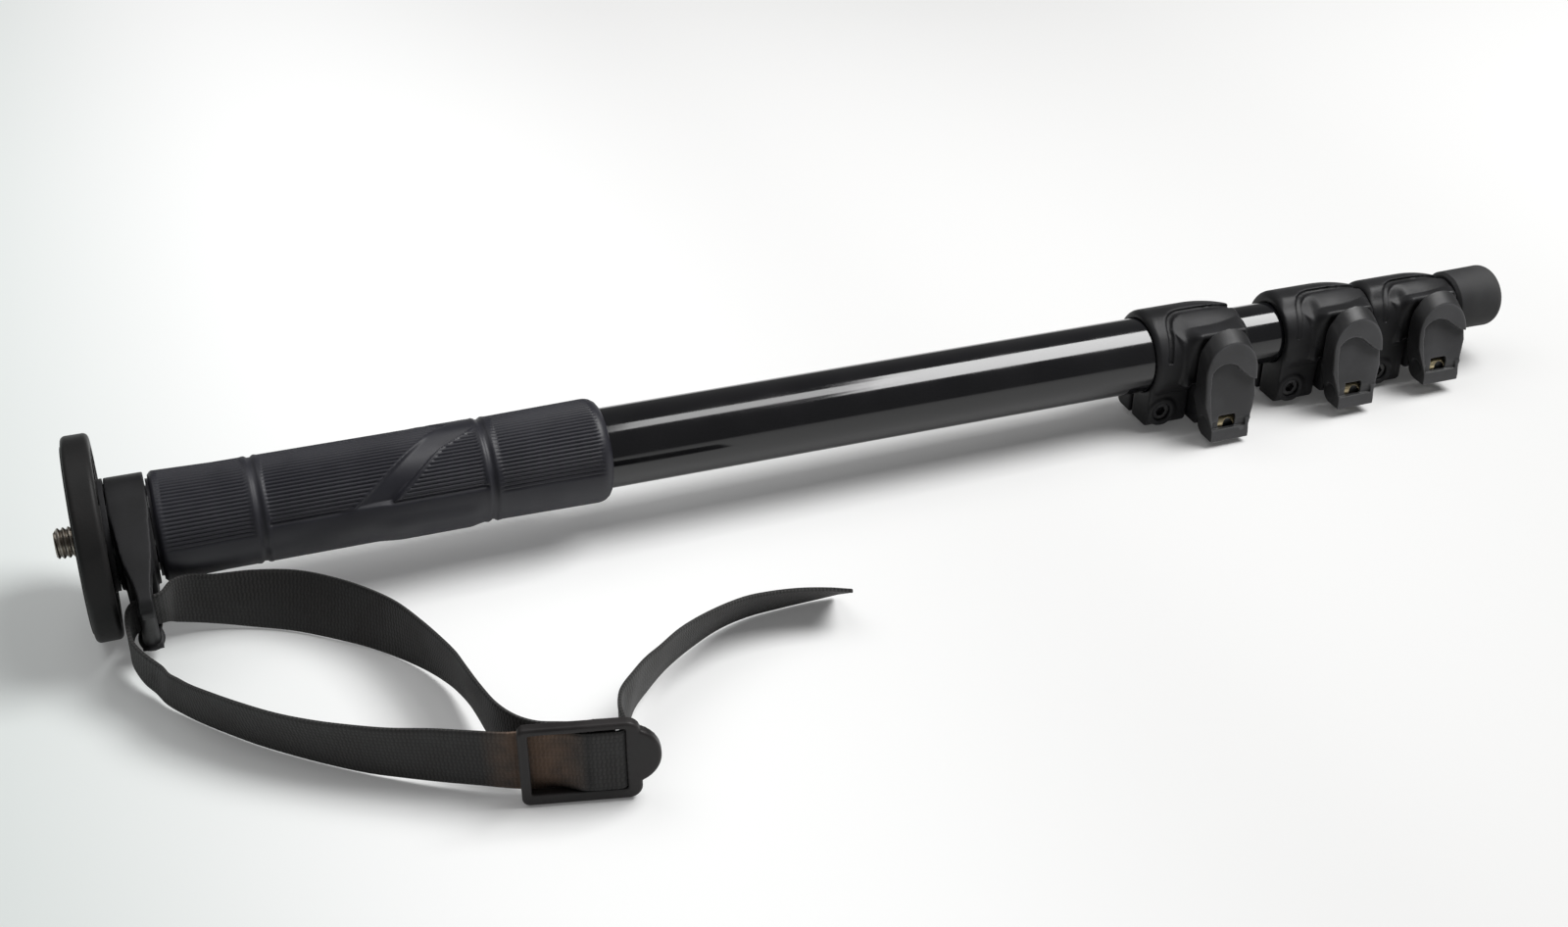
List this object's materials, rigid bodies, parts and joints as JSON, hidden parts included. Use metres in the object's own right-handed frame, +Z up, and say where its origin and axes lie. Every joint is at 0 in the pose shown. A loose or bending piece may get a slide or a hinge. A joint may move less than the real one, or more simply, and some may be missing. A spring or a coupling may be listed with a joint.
{
  "type": "camera monopod",
  "caption": "Telescopic camera monopod with a round platform and stud, ribbed grip, webbing wrist strap, cam lever locks and a rubber foot.",
  "frame": {"origin": "on the tube's axis at the front face of the platform's rubber pad, where the camera stud comes out", "axes": "+X along the monopod towards the foot, within one degree; +Z up as it lies on a table; -Y towards the levers and the strap"},
  "size_m": [0.517, 0.1668, 0.0633],
  "materials": {
    "plate_black": "satin black, worn bright at the rim",
    "pad_rubber": "matt, fine grain",
    "stud_steel": "bright steel thread, slightly worn",
    "screw_black": "blackened steel",
    "moulding_black": "fine spark grain",
    "grip_rubber": "soft, matt, ribbed lengthwise",
    "webbing": "woven, slightly worn and brown at the buckle",
    "buckle_black": "smooth moulded",
    "foot_rubber": "matt, dusty",
    "tube_black": "gloss black lacquer",
    "guide_white": "slippery bearing plastic",
    "lock_black": "glass filled nylon, fine grain",
    "lever_black": "satin moulded",
    "brass": "turned, dull"
  },
  "bodies": {
    "root": {"camera_plate": "plate_black", "plate_pad": "pad_rubber", "camera_stud": "stud_steel", "plate_screws": "screw_black", "top_hub": "moulding_black", "grip": "grip_rubber", "tube_1": "tube_black", "lock_body_1": "lock_black", "barrel_nut_1": "brass", "clamp_bolt_1": "screw_black", "fixing_screw_1": "screw_black"},
    "strap": {"strap_collar": "moulding_black", "wrist_strap": "webbing", "strap_buckle": "buckle_black"},
    "section_2": {"tube_2": "tube_black", "guide_2": "guide_white", "lock_body_2": "lock_black", "barrel_nut_2": "brass", "clamp_bolt_2": "screw_black", "fixing_screw_2": "screw_black"},
    "section_3": {"tube_3": "tube_black", "guide_3": "guide_white", "lock_body_3": "lock_black", "barrel_nut_3": "brass", "clamp_bolt_3": "screw_black", "fixing_screw_3": "screw_black"},
    "section_4": {"tube_4": "tube_black", "guide_4": "guide_white", "foot_plug": "moulding_black", "rubber_foot": "foot_rubber"},
    "lever_1": {"lock_lever_1": "lever_black"},
    "lever_2": {"lock_lever_2": "lever_black"},
    "lever_3": {"lock_lever_3": "lever_black"}
  },
  "joints": [
    {"name": "strap_swivel", "type": "hinge", "parent": "root", "child": "strap", "pos_m": [0.01605, 0, -0.00027], "axis": [0.9999, 0, -0.0167], "continuous": true},
    {"name": "section_2_slide", "type": "slide", "parent": "root", "child": "section_2", "axis": [0.9999, 0, -0.0167], "range_m": [-0.0157, 0.315]},
    {"name": "section_3_slide", "type": "slide", "parent": "section_2", "child": "section_3", "axis": [0.9999, 0, -0.0167], "range_m": [0, 0.335]},
    {"name": "section_4_slide", "type": "slide", "parent": "section_3", "child": "section_4", "axis": [0.9999, 0, -0.0167], "range_m": [0, 0.345]},
    {"name": "lever_1_hinge", "type": "hinge", "parent": "root", "child": "lever_1", "pos_m": [0.38344, -0.02355, -0.02467], "axis": [0.9999, 0, -0.0167], "range_deg": [0, 90]},
    {"name": "lever_2_hinge", "type": "hinge", "parent": "section_2", "child": "lever_2", "pos_m": [0.43707, -0.0213, -0.02332], "axis": [0.9999, 0, -0.0167], "range_deg": [0, 90]},
    {"name": "lever_3_hinge", "type": "hinge", "parent": "section_3", "child": "lever_3", "pos_m": [0.475, -0.0192, -0.02185], "axis": [0.9999, 0, -0.0167], "range_deg": [0, 90]}
  ]
}
